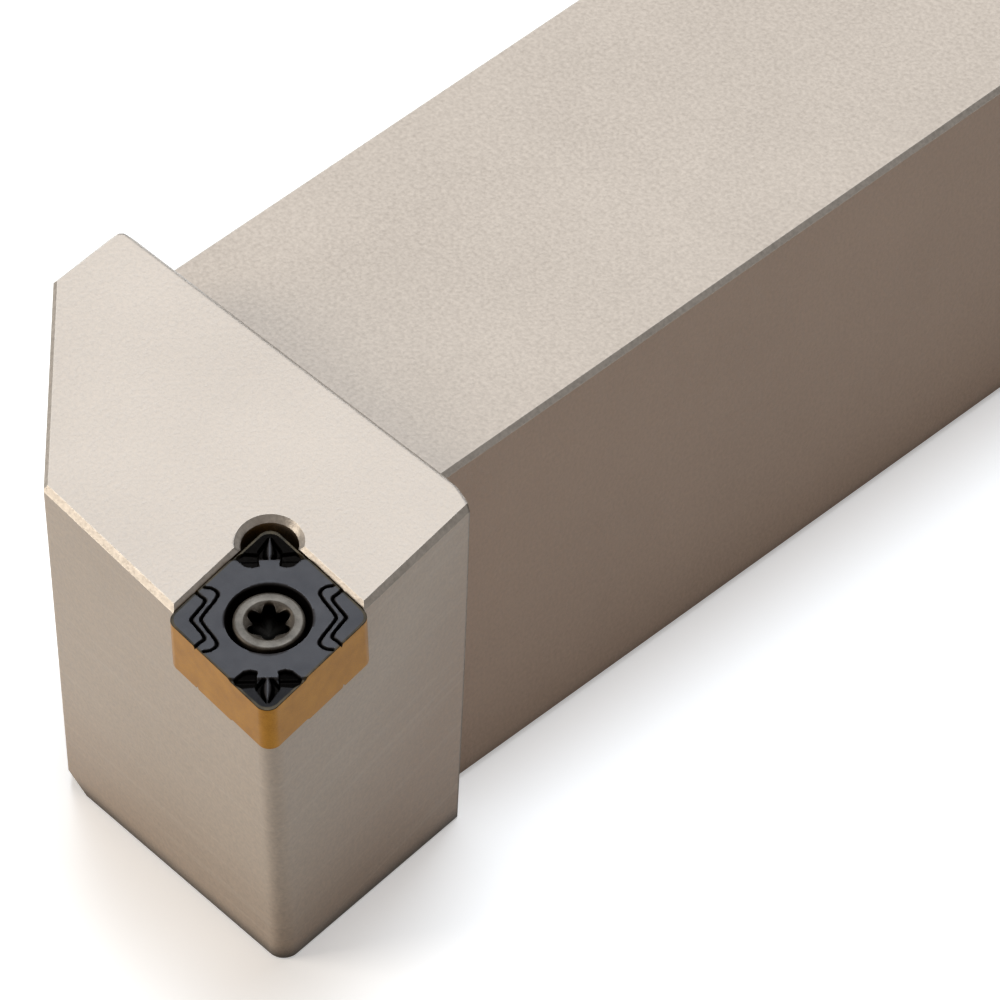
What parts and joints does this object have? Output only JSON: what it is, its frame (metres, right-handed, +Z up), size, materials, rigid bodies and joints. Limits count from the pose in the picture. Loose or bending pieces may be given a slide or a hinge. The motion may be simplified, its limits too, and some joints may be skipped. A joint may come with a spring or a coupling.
{
  "type": "indexable turning toolholder",
  "caption": "Square-shank external turning toolholder with a raised tilted head, a screwed-down rhombic insert and a corner pocket.",
  "frame": {"origin": "middle of the flat underside of the shank, halfway along the overall length", "axes": "+X to the cutting side, +Y along the shank to its rear end, +Z up; the head is at -Y"},
  "size_m": [0.032, 0.15, 0.0306],
  "materials": {
    "holder_steel": "fine blasted, satin nickel plated",
    "coated_carbide": "matte hard coating, gold flanks and dark grey faces",
    "screw_steel": "turned, oiled steel"
  },
  "bodies": {
    "holder": {"holder_body": "holder_steel", "insert": "coated_carbide"},
    "screw": {"clamp_screw": "screw_steel"}
  },
  "joints": [
    {"name": "screw_travel", "type": "slide", "parent": "holder", "child": "screw", "axis": [0.104, -0.1045, 0.9891], "range_m": [0, 0.01]}
  ]
}
